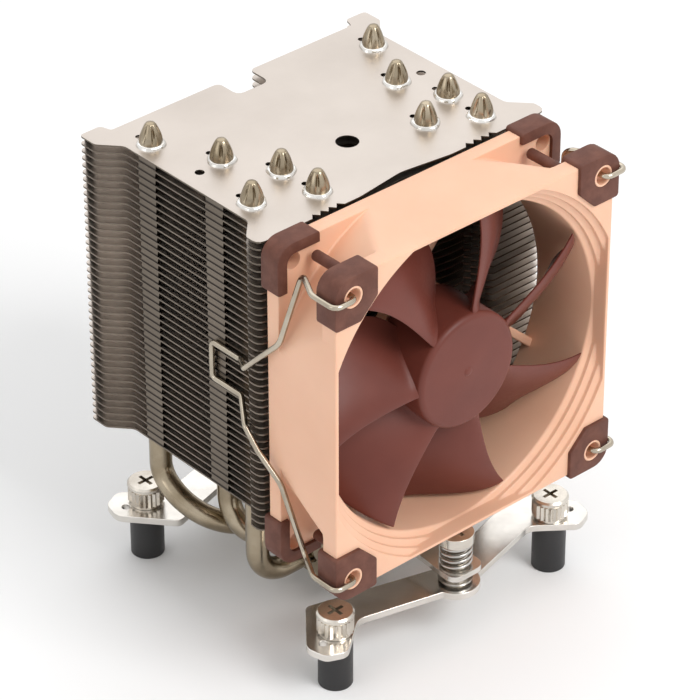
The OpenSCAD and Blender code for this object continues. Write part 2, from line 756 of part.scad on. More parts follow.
// The laminated core: one T-shaped pole for each coil
module stator_core() {
    color("gray") on_fan() translate([0, 0, core_z]) linear_extrude(core_h) difference() {
        union() {
            circle(r = bearing_tube_r + 1.5);
            for (i = [0 : pole_count - 1]) rotate(360 / pole_count * i)
                translate([0, -pole_neck_w / 2]) square([core_r - pole_shoe_t + 0.2, pole_neck_w]);
            difference() {
                circle(r = core_r);
                circle(r = core_r - pole_shoe_t);
                for (i = [0 : pole_count - 1]) rotate(360 / pole_count * (i + 0.5))
                    translate([0, -1.6]) square([core_r + 1, 3.2]);
            }
        }
        circle(r = bearing_tube_r);
    }
}

module insulator() {
    color("white") on_fan() for (z = [core_z - 0.5, core_z + core_h]) translate([0, 0, z])
        linear_extrude(0.5) difference() {
            union() {
                circle(r = bearing_tube_r + 1.5);
                for (i = [0 : pole_count - 1]) rotate(360 / pole_count * i)
                    translate([0, -pole_neck_w / 2]) square([core_r - 0.4, pole_neck_w]);
            }
            circle(r = bearing_tube_r);
        }
}

module coils() {
    inner = bearing_tube_r + 1.7;
    half_w = pole_neck_w / 2 + coil_t;
    outer = sqrt(pow(core_r - pole_shoe_t, 2) - pow(half_w, 2)) - 0.1;
    h = core_h + 1 + 2 * coil_t - 0.6;
    color("chocolate") on_fan() for (i = [0 : pole_count - 1]) rotate([0, 0, 360 / pole_count * i])
        difference() {
            translate([inner, -half_w, core_z + core_h / 2 - h / 2])
                cube([outer - inner, 2 * half_w, h]);
            translate([inner - 1, -pole_neck_w / 2, core_z - 0.5])
                cube([outer - inner + 2, pole_neck_w, core_h + 1]);
        }
}

board_t = 1.2;

module circuit_board() {
    color("darkgreen") on_fan() translate([0, 0, motor_base_z - board_t]) difference() {
        cylinder(r = magnet_r - 0.6, h = board_t);
        translate([0, 0, -1]) cylinder(r = bearing_tube_r, h = 4);
    }
}

// ---- Rubber pads ----
pad_chamfer = 5.4;

// A corner pad for a flange of thickness t, in the quarter where x and y are positive.
// Its lip behind the flange stands clear of the duct's wall, which has the radius wall_r there.
module pad(t, hole_r, wall_r) {
    hole = fan_hole_pitch / 2;
    outer = fan_size / 2 + pad_wall;
    inner = hole - pad_reach;
    color("sienna") difference() {
        translate([0, 0, -pad_t]) linear_extrude(t + 2 * pad_t) polygon(rounded([
            [inner + pad_chamfer, inner, 0.8], [outer, inner, 0.8],
            [outer, outer, flange_corner_r + pad_wall], [inner, outer, 0.8],
            [inner, inner + pad_chamfer, 0.8]], 4));
        linear_extrude(t) flange_outline();
        translate([hole, hole, -pad_t - 1]) cylinder(r = hole_r, h = pad_t + 1 + eps);
        translate([hole, hole, t - eps]) cylinder(r = hole_r, h = pad_t + 1);
        translate([0, 0, t - eps]) cylinder(r = wall_r + boss_gap, h = pad_t + 1);
    }
}

pad_places = [[-1, -1], [1, -1], [-1, 1], [1, 1]];

module corner_mirror(i) {
    mirror([pad_places[i].x < 0 ? 1 : 0, 0, 0])
        mirror([0, pad_places[i].y < 0 ? 1 : 0, 0])
            children();
}

// A front pad has a rubber pin that reaches back to the rear pad
module front_pad(i) {
    pin_l = fan_l - front_flange_t - back_flange_t - 2 * pad_t - pin_gap;
    on_fan() corner_mirror(i) {
        pad(front_flange_t, boss_r + boss_gap, wall_front_r);
        color("sienna") translate([pin_x, fan_hole_pitch / 2, front_flange_t])
            cylinder(r = pin_r, h = pad_t + pin_l);
    }
}

module rear_pad(i) {
    on_fan() translate([0, 0, fan_l]) mirror([0, 0, 1]) corner_mirror(i)
        pad(back_flange_t, fan_hole_d / 2, wall_back_r + pad_t);
}

// ---- Wire clips ----
// A round wire along a route, with the ring's frame carried from point to point
function carried(ts, normal, i = 0) = i == len(ts) ? [] :
    let (n = unit(normal - (normal * ts[i]) * ts[i]))
    concat([n], carried(ts, n, i + 1));
function tangents(route) = let (n = len(route)) [for (i = [0 : n - 1])
    unit(route[min(i + 1, n - 1)] - route[max(i - 1, 0)])];

module wire(route, r, sides) {
    ts = tangents(route);
    first = abs(ts[0].z) < 0.9 ? [0, 0, 1] : [0, 1, 0];
    ns = carried(ts, first);
    loft([for (i = [0 : len(route) - 1]) [for (k = [0 : sides - 1])
        let (a = 360 * k / sides)
        route[i] + r * (cos(a) * ns[i] + sin(a) * cross(ts[i], ns[i]))]]);
}

// A bent route through corner points, with each bend rounded to radius r
function bend(a, b, c, r, steps) =
    let (u = unit(a - b), v = unit(c - b), half = acos(u * v) / 2)
    let (centre = b + unit(u + v) * r / sin(half))
    let (p = b + u * r / tan(half) - centre, q = b + v * r / tan(half) - centre)
    let (turn = 180 - 2 * half)
    [for (i = [0 : steps]) let (t = i / steps)
        centre + (p * sin((1 - t) * turn) + q * sin(t * turn)) / sin(turn)];
function bent(corners, r, steps) =
    let (n = len(corners))
    concat([corners[0]],
        [for (i = [1 : n - 2]) each bend(corners[i - 1], corners[i], corners[i + 1], r, steps)],
        [corners[n - 1]]);

wire_r = wire_d / 2;
clip_bend_r = 0.95;
tail_in = 0.8;
clip_hook_z = -pad_t - wire_gap - wire_r;
// Where the wire dips in behind the pad, counted from the screw hole and the front flange
dip_out = 2.1;
dip_z = 9.8;
// How far the wire spreads from the finger loop on its way over the fins' ears
ear_spread = 8.2;
ear_spread_end = 3.2;

// Half of a clip, from its end in the screw hole down to the finger loop's end
clip_half = let (
    hole = fan_hole_pitch / 2,
    side_x = fan_size / 2 + pad_wall + wire_gap + wire_r,
    flank_x = fan_size / 2 + wire_gap + wire_r,
    ear_out = max(ear_x, fan_size / 2) + wire_gap + wire_r,
    waist_out = waist_x + wire_gap + wire_r,
    fins_z = fan_l + pad_t
) [
    [hole, hole, tail_in],
    [hole, hole, clip_hook_z],
    [side_x, hole, clip_hook_z],
    [side_x, hole, front_flange_t + pad_t + wire_gap],
    [hole + dip_out, hole, front_flange_t + dip_z],
    [flank_x, hole / 2, fan_l - back_flange_t - 2 * wire_r],
    [ear_out, loop_h / 2 + ear_spread, fins_z],
    [ear_out, loop_h / 2 + ear_spread_end, fins_z + ear_l * 0.6],
    [waist_out, loop_h / 2, fins_z + ear_l * 1.5],
    [waist_out, loop_h / 2, fins_z + ear_l * 1.5 + loop_l]
];

module clip() {
    back = [for (i = [len(clip_half) - 1 : -1 : 0])
        [clip_half[i].x, -clip_half[i].y, clip_half[i].z]];
    color("lightgray") on_fan() wire(bent(concat(clip_half, back), clip_bend_r, 3), wire_r, 10);
}

// ---- Pieces ----
base_plate();
base_cover();
heat_pipe(0);  // heat_pipe_1
heat_pipe(1);  // heat_pipe_2
heat_pipe(2);  // heat_pipe_3
heat_pipe(3);  // heat_pipe_4
heat_pipe(4);  // heat_pipe_5
fin_stack();
top_fin();
solder_rings();
bridge();
bridge_screws();
mirror([0, 1, 0]) bar();  // bar_front
bar();  // bar_rear
spacers();
thumb_nut(0);  // thumb_nut_1
thumb_nut(1);  // thumb_nut_2
thumb_nut(2);  // thumb_nut_3
thumb_nut(3);  // thumb_nut_4
spring_screw(-spring_screw_y);  // spring_screw_front
spring_screw(spring_screw_y);  // spring_screw_rear
spring(-spring_screw_y);  // spring_front
spring(spring_screw_y);  // spring_rear
retainer(-spring_screw_y);  // retainer_front
retainer(spring_screw_y);  // retainer_rear
fan_frame();
impeller();
rotor_yoke();
magnet_ring();
fan_shaft();
shaft_ring();
bearing();
stator_core();
insulator();
coils();
circuit_board();
front_pad(0);  // front_pad_1
front_pad(1);  // front_pad_2
front_pad(2);  // front_pad_3
front_pad(3);  // front_pad_4
rear_pad(0);  // rear_pad_1
rear_pad(1);  // rear_pad_2
rear_pad(2);  // rear_pad_3
rear_pad(3);  // rear_pad_4
mirror([1, 0, 0]) clip();  // clip_left
clip();  // clip_right
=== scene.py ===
"""The looks of a processor's tower cooler: fins on heat pipes, a square fan, wire clips and a screw kit."""

import json
import math

import bmesh
import bpy
import numpy as np
from mathutils import Matrix, Vector


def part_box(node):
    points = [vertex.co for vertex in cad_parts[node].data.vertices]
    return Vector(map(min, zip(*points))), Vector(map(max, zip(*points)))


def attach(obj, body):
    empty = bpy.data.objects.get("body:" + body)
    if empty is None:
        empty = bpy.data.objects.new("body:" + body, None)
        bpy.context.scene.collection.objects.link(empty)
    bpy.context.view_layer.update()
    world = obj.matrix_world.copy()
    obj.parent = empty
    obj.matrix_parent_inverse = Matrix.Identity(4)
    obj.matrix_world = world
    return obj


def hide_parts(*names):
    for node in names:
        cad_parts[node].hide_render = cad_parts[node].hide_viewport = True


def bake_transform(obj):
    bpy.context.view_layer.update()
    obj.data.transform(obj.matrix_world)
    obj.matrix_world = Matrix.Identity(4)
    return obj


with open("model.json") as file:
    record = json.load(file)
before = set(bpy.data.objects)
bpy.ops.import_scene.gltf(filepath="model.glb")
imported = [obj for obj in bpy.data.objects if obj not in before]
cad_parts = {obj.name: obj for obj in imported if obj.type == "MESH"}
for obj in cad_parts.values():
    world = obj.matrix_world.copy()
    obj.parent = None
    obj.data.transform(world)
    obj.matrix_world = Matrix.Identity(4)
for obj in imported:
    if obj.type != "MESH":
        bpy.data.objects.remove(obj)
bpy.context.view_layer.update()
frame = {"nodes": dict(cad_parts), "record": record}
MM = 0.001

# ---- Sizes in millimetres, as the construction has them ----
FAN_SIZE = 92.0
FAN_DEPTH = 25.0
FRONT_FLANGE = 5.0
BACK_FLANGE = 4.3
HOLE_PITCH = 82.5
HOLE_D = 4.6
HOLE_XY = HOLE_PITCH / 2
CORNERS = [(-1, -1), (1, -1), (-1, 1), (1, 1)]
DUCT_R = 44.8
MOUTH_R = 49.7
WALL_FRONT_R = HOLE_PITCH / math.sqrt(2) - 4.2
WALL_BACK_R = 49.0
FLANGE_CORNER_R = 4.0
RIM = 1.0
STEP_L = 1.7
BOSS_R = 3.0
MOTOR_BASE_R = 15.0
MOTOR_BASE_T = 3.2
MOTOR_BASE_INSET = 0.3
BEARING_TUBE_R = 4.8
BEARING_BORE_R = 3.6
BEARING_TUBE_FRONT = 8.0
STRUT_W = 2.4
STRUT_OFFSET = 13.0
STRUT_TURN = 42.0
PAD_T = 1.0
PAD_WALL = 0.9
PAD_REACH = 7.9
PAD_CHAMFER = 5.4
PAD_LIP = 3.0
PIN_R = 1.45
PIN_X = HOLE_XY - 5.75
WIRE_R = 0.75
WIRE_GAP = 0.3
LOOP_H = 10.6
LOOP_L = 11.0
EAR_X = 47.5
EAR_L = 8.0
WAIST_X = 42.5
HUB_R = 16.0
HUB_RECESS = 2.7
HUB_L = 17.5
HUB_WALL = 1.6
TIP_R = 43.9
BLADE_COUNT = 7
BLADE_T = 1.9
BLADE_PHASE = 288.0
PIPE_R = 3.0
PIPE_Z = 14.4
PIPE_ROWS = [-12.8, -6.4, 0.0, 6.4, 12.8]
PIPE_TOP_YS = [-12.8, -6.4, 0.0, 13.8, 31.4]
PIPE_LEFT_XS = [21.0, 36.5, 21.5, 29.0, 37.0]
PIPE_RIGHT_XS = [33.5, 20.5, 34.0, 29.0, 37.0]
PIPE_BEND_RS = [9.0, 9.0, 9.0, 9.0, 19.8]
PIPE_TILTS = [0.0, 0.0, 0.0, math.atan2(3, 4), math.atan2(4, 3)]
NOSE_H = 6.3
SOLDER_W = 0.8
SOLDER_H = 0.88
FIN_FLOOR_Z = 42.4
FIN_PITCH = 2.063
FIN_COUNT = 42
FIN_T = 0.45
TAB_INSET = 0.1
TAB_W = 6.5
TAB_YS = [0.7, 26.3]
TAB_LEAN = 0.28
SPRING_SCREW_Y = 41.5
SPRING_R = 3.95
SPRING_WIRE_R = 0.45
SPRING_TURNS = 4

# ---- Places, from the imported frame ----
frame_low, frame_high = (np.array(c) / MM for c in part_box("fan_frame"))
fan_front_y = frame_high[1] - FAN_DEPTH
fan_axis_z = (frame_low[2] + frame_high[2]) / 2
top_fin_low, top_fin_high = (np.array(c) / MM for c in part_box("top_fin"))
fin_top_z = top_fin_low[2] + FIN_T
bridge_top_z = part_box("bridge")[1][2] / MM


# ---- Shaders ----
def paint(red, green, blue):
    """A colour given as a maker's 0 to 255 sample, in the shader's linear light."""
    linear = [((c / 255 + 0.055) / 1.055) ** 2.4 if c > 10 else c / 3295 for c in (red, green, blue)]
    return (*linear, 1.0)


class Link:
    """An output of a shader node that arithmetic can be written with."""

    def __init__(self, nodes, socket):
        self.nodes = nodes
        self.socket = socket

    def _maths(self, operation, a, b=0.0):
        return self.nodes.node("ShaderNodeMath", {"operation": operation}, {0: a, 1: b})

    def __add__(self, other):
        return self._maths("ADD", self, other)

    def __sub__(self, other):
        return self._maths("SUBTRACT", self, other)

    def __rsub__(self, other):
        return self._maths("SUBTRACT", other, self)

    def __mul__(self, other):
        return self._maths("MULTIPLY", self, other)

    def __truediv__(self, other):
        return self._maths("DIVIDE", self, other)

    def size(self):
        return self._maths("ABSOLUTE", self)

    def wrapped(self):
        return self._maths("FRACT", self)

    __radd__ = __add__
    __rmul__ = __mul__


class Nodes:
    """A node tree that is built by one method."""

    def __init__(self, tree):
        self.tree = tree

    def node(self, kind, settings, inputs, output=0):
        """A new node of a kind: its settings are set first, then its sockets' values or links."""
        made = self.tree.nodes.new(kind)
        for name, value in settings.items():
            setattr(made, name, value)
        for name, value in inputs.items():
            if isinstance(value, Link):
                self.tree.links.new(value.socket, made.inputs[name])
            else:
                made.inputs[name].default_value = value
        return Link(self, made.outputs[output])


class Finish(Nodes):
    """A material being made: its nodes, and the shader that they feed."""

    def __init__(self, name, **constants):
        self.material = bpy.data.materials.new(name)
        self.material.use_nodes = True
        super().__init__(self.material.node_tree)
        self.shader = self.tree.nodes["Principled BSDF"]
        for socket, value in constants.items():
            self.shader.inputs[socket.replace("_", " ")].default_value = value
        self.place = self.node("ShaderNodeTexCoord", {}, {}, "Object")

    def stretched(self, x, y, z):
        """The object's coordinates, stretched along its axes."""
        return self.node("ShaderNodeMapping", {}, {"Vector": self.place, "Scale": (x, y, z)})

    def noise(self, scale, detail=3.0, place=None):
        inputs = {"Vector": place or self.place, "Scale": scale, "Detail": detail, "Roughness": 0.55}
        return self.node("ShaderNodeTexNoise", {}, inputs)

    def ramp(self, value, low, high):
        """Value spread from 0 at low to 1 at high, and held there."""
        return self.node("ShaderNodeMapRange", {}, {"Value": value, "From Min": low, "From Max": high})

    def mix(self, share, a, b):
        """Colour a where share is 0, colour b where it is 1."""
        return self.node("ShaderNodeMix", {"data_type": "RGBA"}, {"Factor": share, 6: a, 7: b}, 2)

    def bump(self, height, distance, strength=1.0, normal=None):
        inputs = {"Height": height, "Distance": distance, "Strength": strength}
        if normal:
            inputs["Normal"] = normal
        return self.node("ShaderNodeBump", {}, inputs)

    def feed(self, **links):
        for socket, link in links.items():
            self.tree.links.new(link.socket, self.shader.inputs[socket.replace("_", " ")])
        return self


EVEN_GRAIN = (60.0, 60.0, 60.0)


def plated(name, colour, shade, roughness, grain=EVEN_GRAIN, grain_depth=0.00001, patina=0.06):
    """A bright plated metal: soft clouds of tarnish, and a fine grain along the way it was drawn."""
    finish = Finish(name, Metallic=1.0)
    clouds = finish.noise(90.0, 4.0)
    grain_lines = finish.noise(30.0, 2.0, finish.stretched(*grain))
    tarnish = finish.ramp(clouds, 0.35, 0.72)
    finish.feed(
        Base_Color=finish.mix(tarnish, colour, shade),
        Roughness=roughness + (clouds - 0.5) * patina + (grain_lines - 0.5) * patina,
        Normal=finish.bump(grain_lines, grain_depth, 0.5),
    )
    return finish.material


def moulded(name, colour, shade, roughness, grain=2600.0, grain_depth=0.00002, soft=0.0, gloss=0.5):
    """A moulded plastic: a fine spark-eroded texture and a hardly visible flow of colour."""
    finish = Finish(name, Subsurface_Weight=soft, Subsurface_Scale=0.001, IOR=1.48, Specular_IOR_Level=gloss)
    flow = finish.noise(45.0, 3.0)
    texture = finish.noise(grain, 2.0)
    speck = finish.noise(grain * 0.4, 1.0)
    finish.feed(
        Base_Color=finish.mix(finish.ramp(flow, 0.3, 0.75), colour, shade),
        Roughness=roughness + (speck - 0.5) * 0.12,
        Normal=finish.bump(texture, grain_depth, 0.35),
    )
    return finish.material


def rubber():
    """The pads' silicone rubber: dull, with a dusty bloom where it is rubbed."""
    finish = Finish("pad_rubber", IOR=1.42)
    bloom = finish.ramp(finish.noise(260.0, 5.0), 0.42, 0.75)
    texture = finish.noise(1900.0, 3.0)
    colour = finish.mix(bloom, paint(92, 53, 41), paint(112, 70, 56))
    finish.feed(
        Base_Color=colour,
        Roughness=0.62 + (texture - 0.5) * 0.2,
        Normal=finish.bump(texture, 0.00004, 0.5),
    )
    return finish.material


def rolled_sheet():
    """The fins' nickel-plated sheet: satin on its faces, a little duller where a shear has cut its edges,
    with painted shade on its upright sides and in the gaps between its tabs.
    """
    finish = Finish("nickel_sheet", Metallic=1.0)
    clouds = finish.noise(26.0, 5.0)
    streaks = finish.noise(24.0, 3.0, finish.stretched(3.0, 90.0, 20.0))
    waves = finish.noise(9.0, 1.0)
    tone = finish.ramp(clouds, 0.3, 0.75)
    facing = finish.node("ShaderNodeNewGeometry", {}, {}, "True Normal")
    upward = finish.node("ShaderNodeSeparateXYZ", {}, {0: facing}, "Z")
    flat = finish.ramp(upward.size(), 0.35, 0.9)
    height = finish.node("ShaderNodeSeparateXYZ", {}, {0: finish.place}, "Z")
    step = ((height - FIN_FLOOR_Z * MM) / (FIN_PITCH * MM)).wrapped()
    # a near-black band once a fin's pitch, on upright faces only: painted shade in the gaps between the
    # hooked tabs
    painted_tab_gap_shade = finish.ramp(step, 0.24, 0.30) - finish.ramp(step, 0.44, 0.62)
    # upward faces get the lit colour and upright sides a darker copy of it: painted shade standing in for the
    # dark surroundings the sides reflect
    face = finish.mix(tone, paint(203, 194, 186), paint(187, 178, 170))
    cut = finish.mix(tone, paint(124, 114, 103), paint(98, 90, 81))
    finish.feed(
        Base_Color=finish.mix(flat, finish.mix(painted_tab_gap_shade, cut, paint(38, 32, 28)), face),
        Roughness=0.38 - flat * 0.04 + (clouds - 0.5) * 0.14 + (streaks - 0.5) * 0.08,
        Normal=finish.bump(waves, 0.0004, 0.25, finish.bump(streaks, 0.000006, 0.5)),
    )
    return finish.material


def circuit_laminate():
    """The motor's board: green lacquer over woven glass."""
    finish = Finish("board_laminate", IOR=1.5)
    weave = finish.noise(700.0, 2.0)
    finish.feed(
        Base_Color=finish.mix(finish.ramp(weave, 0.4, 0.6), paint(26, 74, 44), paint(38, 96, 60)),
        Roughness=0.35 + weave * 0.1,
        Normal=finish.bump(weave, 0.00001, 0.4),
    )
    return finish.material


def wound_copper():
    """The coils: turns of enamelled wire side by side."""
    finish = Finish("enamelled_wire", Metallic=1.0)
    inputs = {"Vector": finish.place, "Scale": 700.0, "Distortion": 0.4}
    turns = finish.node("ShaderNodeTexWave", {"bands_direction": "Y"}, inputs)
    finish.feed(
        Base_Color=finish.mix(turns, paint(120, 58, 26), paint(196, 112, 62)),
        Roughness=0.28 + turns * 0.1,
        Normal=finish.bump(turns, 0.00006, 0.8),
    )
    return finish.material


ALONG_PIPE = (900.0, 900.0, 60.0)
ALONG_SCREW = (80.0, 80.0, 900.0)
LAMINATED = (60.0, 1400.0, 60.0)
FINISHES = {
    "fin_sheet": rolled_sheet(),
    "plated_copper": plated(
        "nickel_on_copper", paint(172, 160, 140), paint(128, 114, 92), 0.22, ALONG_PIPE
    ),
    "plated_steel": plated("nickel_on_steel", paint(228, 224, 218), paint(200, 195, 188), 0.24),
    "screw_steel": plated("screw_steel", paint(222, 216, 206), paint(178, 170, 160), 0.25, ALONG_SCREW),
    "spring_wire": plated("spring_wire", paint(200, 198, 194), paint(150, 146, 140), 0.26),
    "clip_wire": plated("clip_wire", paint(186, 176, 160), paint(150, 140, 124), 0.20, patina=0.08),
    "solder": plated("tin_solder", paint(226, 224, 220), paint(196, 192, 186), 0.2, grain_depth=0.00003),
    "magnet": moulded("ferrite", paint(58, 56, 56), paint(72, 70, 68), 0.6, 1800.0),
    "core_steel": plated("core_steel", paint(150, 152, 156), paint(120, 122, 126), 0.4, LAMINATED, 0.00004),
    "bronze": plated(
        "sintered_bronze", paint(186, 140, 84), paint(140, 98, 56), 0.45, grain_depth=0.00003
    ),
    "spacer_plastic": moulded("spacer_plastic", paint(34, 33, 34), paint(44, 43, 43), 0.45),
    "insulator_plastic": moulded("insulator_plastic", paint(226, 222, 210), paint(214, 208, 194), 0.4),
    "frame_plastic": moulded("frame_plastic", paint(238, 190, 160), paint(230, 180, 149), 0.42, soft=0.08),
    "blade_plastic": moulded(
        "blade_plastic", paint(112, 58, 48), paint(97, 47, 38), 0.42, grain_depth=0.00001, gloss=0.32
    ),
    "pad_rubber": rubber(),
    "copper_wire": wound_copper(),
    "board": circuit_laminate(),
}
behaviour = frame["record"]["behaviour"]
slot_of = {part["node"]: part["material_slot"] for part in frame["record"]["subparts"]}
body_of_node = {node: body for body, nodes in behaviour["bodies"].items() for node in nodes}


def dress_cad_nodes():
    """Every node of the construction gets the finish of its slot."""
    for node, thing in frame["nodes"].items():
        finish = FINISHES[slot_of[node]]
        if not thing.material_slots:
            thing.data.materials.append(finish)
        for held in thing.material_slots:
            held.material = finish


# ---- Meshes ----
def smooth_by_angle(thing, degrees=32.0):
    """Faces shade smoothly into each other except across edges sharper than this."""
    shape = bmesh.new()
    shape.from_mesh(thing.data)
    for face in shape.faces:
        face.smooth = True
    for edge in shape.edges:
        edge.smooth = len(edge.link_faces) == 2 and edge.calc_face_angle(0.0) < math.radians(degrees)
    shape.to_mesh(thing.data)
    shape.free()


def piece(name, mesh, body, slot, replaced=()):
    """Makes a piece of a mesh in millimetres, riding on a body unless it is to be stretched."""
    thing = bpy.data.objects.new(name, mesh)
    bpy.context.scene.collection.objects.link(thing)
    mesh.transform(Matrix.Scale(MM, 4))
    mesh.materials.append(FINISHES[slot])
    smooth_by_angle(thing)
    if body:
        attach(thing, body)
    if replaced:
        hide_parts(*replaced)
    return thing


def mesh_of(name, points, faces):
    """A clean mesh: doubled points merged, and faces turned outwards."""
    shape = bmesh.new()
    verts = [shape.verts.new(p) for p in points]
    for face in faces:
        corners = [verts[i] for i in face]
        if len(set(corners)) > 2:
            shape.faces.new(corners)
    bmesh.ops.remove_doubles(shape, verts=shape.verts, dist=1e-4)
    bmesh.ops.dissolve_degenerate(shape, edges=shape.edges, dist=1e-4)
    bmesh.ops.recalc_face_normals(shape, faces=shape.faces)
    mesh = bpy.data.meshes.new(name)
    shape.to_mesh(mesh)
    shape.free()
    return mesh


def loft(rings, closed=False, capped=True):
    """(points, faces) of a skin through rings of equally many points."""
    count, around = len(rings), len(rings[0])
    points = [p for ring in rings for p in ring]
    faces = []
    for i in range(count if closed else count - 1):
        for k in range(around):
            a, b = i * around, (i + 1) % count * around
            m = (k + 1) % around
            faces.append((a + k, a + m, b + m, b + k))
    if capped and not closed:
        faces.append(tuple(range(around)))
        faces.append(tuple((count - 1) * around + k for k in range(around)))
    return points, faces


def together(*parts):
    """Several (points, faces) as one."""
    points, faces = [], []
    for some_points, some_faces in parts:
        faces += [tuple(i + len(points) for i in face) for face in some_faces]
        points += list(some_points)
    return points, faces


def revolve(profile, steps=96):
    """(points, faces) of a profile of (radius, height) turned around the Z axis."""
    rings = []
    for k in range(steps):
        a = 2 * math.pi * k / steps
        rings.append([(r * math.cos(a), r * math.sin(a), z) for r, z in profile])
    return loft(rings, closed=True)


def filleted(corners, steps=4):
    """A closed outline of (x, y, radius) corners with each rounded, always to steps + 1 points a corner."""
    outline = []
    count = len(corners)
    for i, (x, y, radius) in enumerate(corners):
        p = np.array((x, y))
        before = np.array(corners[i - 1][:2]) - p
        after = np.array(corners[(i + 1) % count][:2]) - p
        sides = np.linalg.norm(before), np.linalg.norm(after)
        if min(sides) < 1e-6 or radius <= 0:
            outline += [tuple(p)] * (steps + 1)
            continue
        u, v = before / sides[0], after / sides[1]
        half = math.acos(max(-1.0, min(1.0, float(u @ v)))) / 2
        if half > math.radians(89) or half < math.radians(1):
            outline += [tuple(p)] * (steps + 1)
            continue
        reach = min(radius / math.tan(half), 0.49 * min(sides))
        for k in range(steps + 1):
            t = k / steps
            a, b = p + u * reach, p + v * reach
            # a quadratic bend through the corner is round enough at this size
            weight = math.sin(half)
            blend_a, blend_b, blend_p = (1 - t) ** 2, t**2, 2 * t * (1 - t) * weight
            outline.append(tuple((a * blend_a + b * blend_b + p * blend_p) / (blend_a + blend_b + blend_p)))
    return outline


def on_fan(points):
    """Points of (x, y downwards, depth behind the fan's front) in the row's frame."""
    return [(x, fan_front_y + depth, fan_axis_z - y) for x, y, depth in points]


def tube(route, radius, sides=14, dome=True):
    """(points, faces) of a round bar along a route, its ring carried from point to point."""
    route = [np.array(p, float) for p in route]
    radii = [radius] * len(route)
    if dome:
        first, last = route[0] - route[1], route[-1] - route[-2]
        first, last = first / np.linalg.norm(first), last / np.linalg.norm(last)
        cap = [(math.cos(t), math.sin(t)) for t in np.radians([80, 55, 30])]
        start, end = route[0], route[-1]
        route = [start + first * radius * s for c, s in cap] + route
        route += [end + last * radius * s for c, s in cap[::-1]]
        radii = [radius * c for c, s in cap] + radii + [radius * c for c, s in cap[::-1]]
    turns = 2 * np.pi * np.arange(sides) / sides
    rings = []
    normal = None
    for i, p in enumerate(route):
        t = route[min(i + 1, len(route) - 1)] - route[max(i - 1, 0)]
        t = t / np.linalg.norm(t)
        if normal is None:
            normal = np.cross(t, (0.3, 0.5, 0.8))
        normal = normal - t * (normal @ t)
        normal = normal / np.linalg.norm(normal)
        side = np.cross(t, normal)
        rings.append([tuple(p + radii[i] * (math.cos(a) * normal + math.sin(a) * side)) for a in turns])
    return loft(rings)


def bent(corners, radii, steps=9):
    """A route through corner points, each bend rounded by its own radius."""
    corners = [np.array(c, float) for c in corners]
    route = [corners[0]]
    for a, b, c, radius in zip(corners, corners[1:], corners[2:], radii[1:]):
        u, v = (a - b) / np.linalg.norm(a - b), (c - b) / np.linalg.norm(c - b)
        half = math.acos(float(np.clip(u @ v, -1, 1))) / 2
        centre = b + (u + v) / np.linalg.norm(u + v) * radius / math.sin(half)
        p, q = b + u * radius / math.tan(half) - centre, b + v * radius / math.tan(half) - centre
        turn = math.pi - 2 * half
        for k in range(steps + 1):
            t = k / steps
            route.append(centre + (p * math.sin((1 - t) * turn) + q * math.sin(t * turn)) / math.sin(turn))
    return route + [corners[-1]]


def carve(thing, *cutters):
    """Takes the cutters' (points, faces), in millimetres, out of a piece."""
    for number, (points, faces) in enumerate(cutters):
        mesh = mesh_of("cutter", points, faces)
        mesh.transform(Matrix.Scale(MM, 4))
        cutter = bpy.data.objects.new("cutter", mesh)
        bpy.context.scene.collection.objects.link(cutter)
        cut = thing.modifiers.new("cut", "BOOLEAN")
        cut.object, cut.operation, cut.solver = cutter, "DIFFERENCE", "EXACT"
        bpy.context.view_layer.update()
        graph = bpy.context.evaluated_depsgraph_get()
        result = bpy.data.meshes.new_from_object(thing.evaluated_get(graph))
        thing.modifiers.clear()
        thing.data = result
        bpy.data.objects.remove(cutter)
    smooth_by_angle(thing)
    return thing


# ---- The fan's frame ----
def square_reach(angle, half, corner_r):
    """Distance from the middle of a rounded square to its outline at an angle."""
    c, s = abs(math.cos(angle)), abs(math.sin(angle))
    reach = half / max(c, s)
    inner = half - corner_r
    if reach * min(c, s) > inner:
        middle = inner * (c + s)
        reach = middle + math.sqrt(max(middle**2 - 2 * inner**2 + corner_r**2, 0.0))
    return reach


def frame_section(angle):
    """The moulding's cross-section at an angle round the axis, as (radius, depth) points."""
    c, s = abs(math.cos(angle)), abs(math.sin(angle))
    side = square_reach(angle, FAN_SIZE / 2, FLANGE_CORNER_R)
    flat = (FAN_SIZE / 2 - RIM) / max(c, s)
    fall = (MOUTH_R - DUCT_R) / 3
    steps = [min(MOUTH_R - i * fall, flat) for i in range(3)]
    back = FAN_DEPTH - BACK_FLANGE
    corners = [
        (side, 0, 0.55),
        (steps[0], 0, 0.25),
        (steps[0], STEP_L * 0.6, 0.3),
        (steps[1], STEP_L, 0.3),
        (steps[1], STEP_L * 1.6, 0.3),
        (steps[2], STEP_L * 2, 0.3),
        (steps[2], STEP_L * 2.6, 0.3),
        (DUCT_R, STEP_L * 3, 0.8),
        (DUCT_R, FAN_DEPTH, 0.5),
        (side, FAN_DEPTH, 0.5),
        (side, back, 0.35),
    ]
    for i in range(9):
        share = i / 8
        wall = WALL_BACK_R + (WALL_FRONT_R - WALL_BACK_R) * share
        corners.append((min(wall, side), back + (FRONT_FLANGE - back) * share, 0.7 if i in (0, 8) else 0))
    corners.append((side, FRONT_FLANGE, 0.35))
    return filleted(corners, 3)


def bar_along(length, width, depth, edge):
    """(points, faces) of a bar along X with round edges, its end sections square to it."""
    half = width / 2
    outline = filleted([(-half, 0, edge), (half, 0, edge), (half, depth, edge), (-half, depth, edge)], 4)
    return loft([[(x, y, z) for y, z in outline] for x in (0.0, length)])


def turned(parts, degrees):
    """(points, faces) turned about the Z axis."""
    points, faces = parts
    a = math.radians(degrees)
    c, s = math.cos(a), math.sin(a)
    return [(c * x - s * y, s * x + c * y, z) for x, y, z in points], faces


